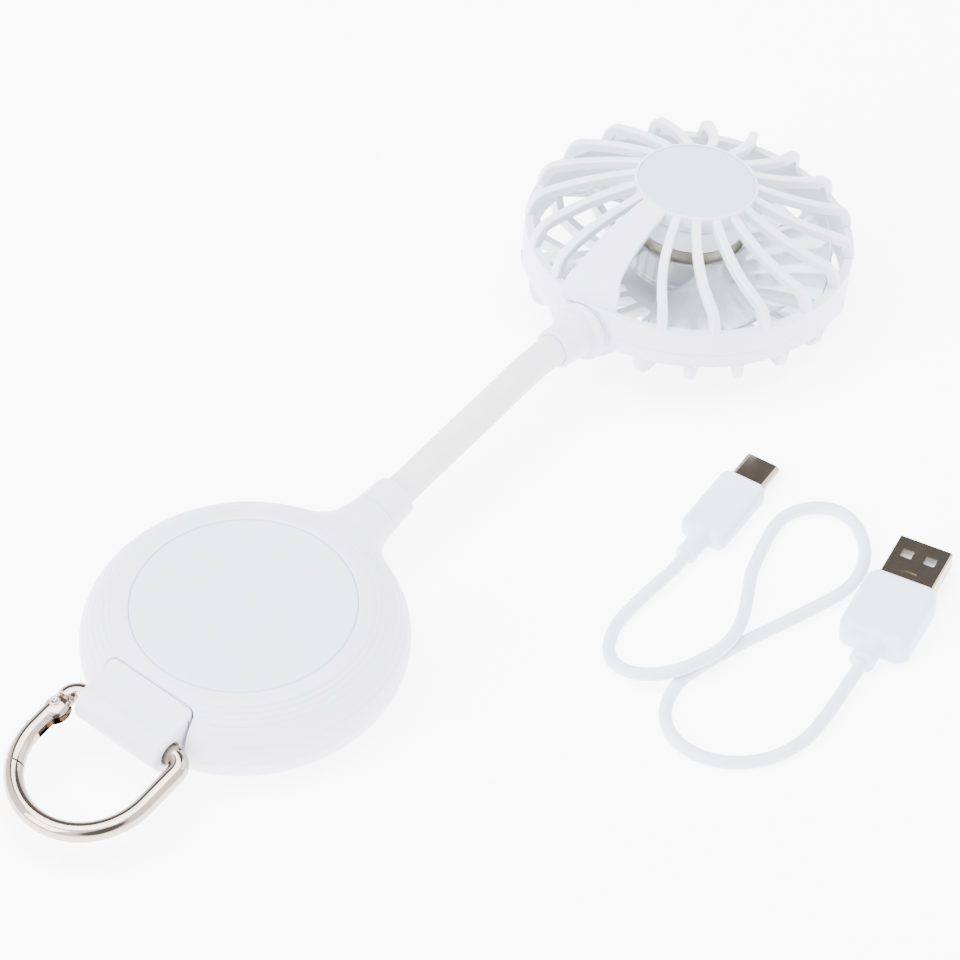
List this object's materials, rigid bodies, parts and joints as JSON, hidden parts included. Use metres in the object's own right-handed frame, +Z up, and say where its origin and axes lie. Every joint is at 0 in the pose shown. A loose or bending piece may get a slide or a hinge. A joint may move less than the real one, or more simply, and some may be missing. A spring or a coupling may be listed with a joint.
{
  "type": "portable fan",
  "caption": "Portable fan with a round battery base, a bendable neck, a caged head, a snap hook and a charging lead.",
  "frame": {"origin": "centre of the round base's flat underside", "axes": "+X from the base along the neck towards the head, +Z up as the fan lies, from the front grille to the rear grille"},
  "size_m": [0.2444, 0.1397, 0.0348],
  "materials": {
    "shell_white": "satin",
    "hub_plate_white": "fine matte",
    "soft_white": "matte",
    "clear_plastic": "clear gloss",
    "nickel": "polished",
    "steel": "satin",
    "magnet": "plain",
    "copper": "enamelled",
    "bronze": "plain",
    "board_green": "lacquered",
    "black_plastic": "matte"
  },
  "bodies": {
    "base": {"base_bottom_shell": "shell_white", "base_top_shell": "shell_white", "top_panel": "shell_white", "clip_loop": "shell_white", "base_collar": "shell_white", "neck_anchor": "soft_white", "battery_cell": "steel", "control_board": "board_green", "charging_port": "steel", "tact_switch": "black_plastic", "indicator_lens": "clear_plastic", "base_screw_1": "steel", "base_screw_2": "steel", "base_screw_3": "steel", "base_screw_4": "steel"},
    "power_button": {"power_button": "hub_plate_white"},
    "neck_link_1": {"neck_link_1": "soft_white"},
    "neck_link_2": {"neck_link_2": "soft_white"},
    "neck_link_3": {"neck_link_3": "soft_white"},
    "neck_link_4": {"neck_link_4": "soft_white"},
    "neck_link_5": {"neck_link_5": "soft_white"},
    "neck_link_6": {"neck_link_6": "soft_white"},
    "neck_link_7": {"neck_link_7": "soft_white"},
    "head": {"head_collar": "shell_white", "neck_head_anchor": "soft_white", "rear_grille": "shell_white", "front_grille": "shell_white", "rear_hub_plate": "hub_plate_white", "front_hub_plate": "hub_plate_white", "motor_cup": "shell_white", "motor_bush": "bronze", "motor_board": "board_green", "stator": "copper", "motor_screw_1": "steel", "motor_screw_2": "steel", "motor_screw_3": "steel"},
    "impeller": {"impeller": "clear_plastic", "rotor_can": "steel", "ring_magnet": "magnet", "motor_shaft": "steel"},
    "snap_hook": {"snap_hook_body": "nickel", "gate_pin": "steel"},
    "snap_gate": {"snap_hook_gate": "nickel", "gate_spring": "steel"},
    "charging_lead": {"lead_cord": "soft_white", "slim_plug_grip": "shell_white", "slim_plug_shell": "nickel", "slim_plug_core": "hub_plate_white", "wide_plug_grip": "shell_white", "wide_plug_shell": "nickel", "wide_plug_core": "hub_plate_white"}
  },
  "joints": [
    {"name": "button_press", "type": "slide", "parent": "base", "child": "power_button", "axis": [0, 0, 1], "range_m": [0, 0.0005], "stiffness_N_per_m": 800},
    {"name": "neck_bend", "type": "hinge", "parent": "base", "child": "neck_link_1", "pos_m": [0.05032, 0, 0.01449], "axis": [0, -1, 0], "range_deg": [-22.5, 22.5]},
    {"name": "neck_sway", "type": "hinge", "parent": "neck_link_1", "child": "neck_link_2", "pos_m": [0.05669, 0, 0.01516], "axis": [-0.1045, 0, 0.9945], "range_deg": [-3.5, 22.5]},
    {"name": "neck_bend_2", "type": "hinge", "parent": "neck_link_2", "child": "neck_link_3", "pos_m": [0.06305, 0, 0.01583], "axis": [0, -1, 0], "range_deg": [-22.5, 22.5]},
    {"name": "neck_sway_2", "type": "hinge", "parent": "neck_link_3", "child": "neck_link_4", "pos_m": [0.06942, 0, 0.0165], "axis": [-0.1045, 0, 0.9945], "range_deg": [-3.5, 22.5]},
    {"name": "neck_bend_3", "type": "hinge", "parent": "neck_link_4", "child": "neck_link_5", "pos_m": [0.07578, 0, 0.01716], "axis": [0, -1, 0], "range_deg": [-22.5, 22.5]},
    {"name": "neck_sway_3", "type": "hinge", "parent": "neck_link_5", "child": "neck_link_6", "pos_m": [0.08215, 0, 0.01783], "axis": [-0.1045, 0, 0.9945], "range_deg": [-3.5, 22.5]},
    {"name": "neck_bend_4", "type": "hinge", "parent": "neck_link_6", "child": "neck_link_7", "pos_m": [0.08851, 0, 0.0185], "axis": [0, -1, 0], "range_deg": [-22.5, 22.5]},
    {"name": "neck_sway_4", "type": "hinge", "parent": "neck_link_7", "child": "head", "pos_m": [0.09491, 0, 0.0185], "axis": [0.0602, 0, 0.9982], "range_deg": [-3.5, 22.5]},
    {"name": "impeller_spin", "type": "hinge", "parent": "head", "child": "impeller", "pos_m": [0.14475, 0, 0.01499], "axis": [0.1201, 0, 0.9928], "continuous": true},
    {"name": "hook_swing", "type": "hinge", "parent": "base", "child": "snap_hook", "pos_m": [-0.034, 0, 0.0125], "axis": [0, 1, 0], "range_deg": [-84, 101]},
    {"name": "gate_open", "type": "hinge", "parent": "snap_hook", "child": "snap_gate", "pos_m": [-0.03943, 0.0152, 0.0116], "axis": [-0.1633, 0, 0.9866], "range_deg": [0, 30], "stiffness_Nm_per_rad": 0.01, "springref_deg": -28.65},
    {"name": "lead_lift", "type": "slide", "parent": "base", "child": "charging_lead", "axis": [0, 0, 1], "range_m": [0, 0.06]}
  ],
  "couplings": [
    {"joint": "neck_bend_2", "follows": "neck_bend", "ratio": 1},
    {"joint": "neck_sway_2", "follows": "neck_sway", "ratio": 1},
    {"joint": "neck_bend_3", "follows": "neck_bend", "ratio": 1},
    {"joint": "neck_sway_3", "follows": "neck_sway", "ratio": 1},
    {"joint": "neck_bend_4", "follows": "neck_bend", "ratio": 1},
    {"joint": "neck_sway_4", "follows": "neck_sway", "ratio": 1}
  ]
}
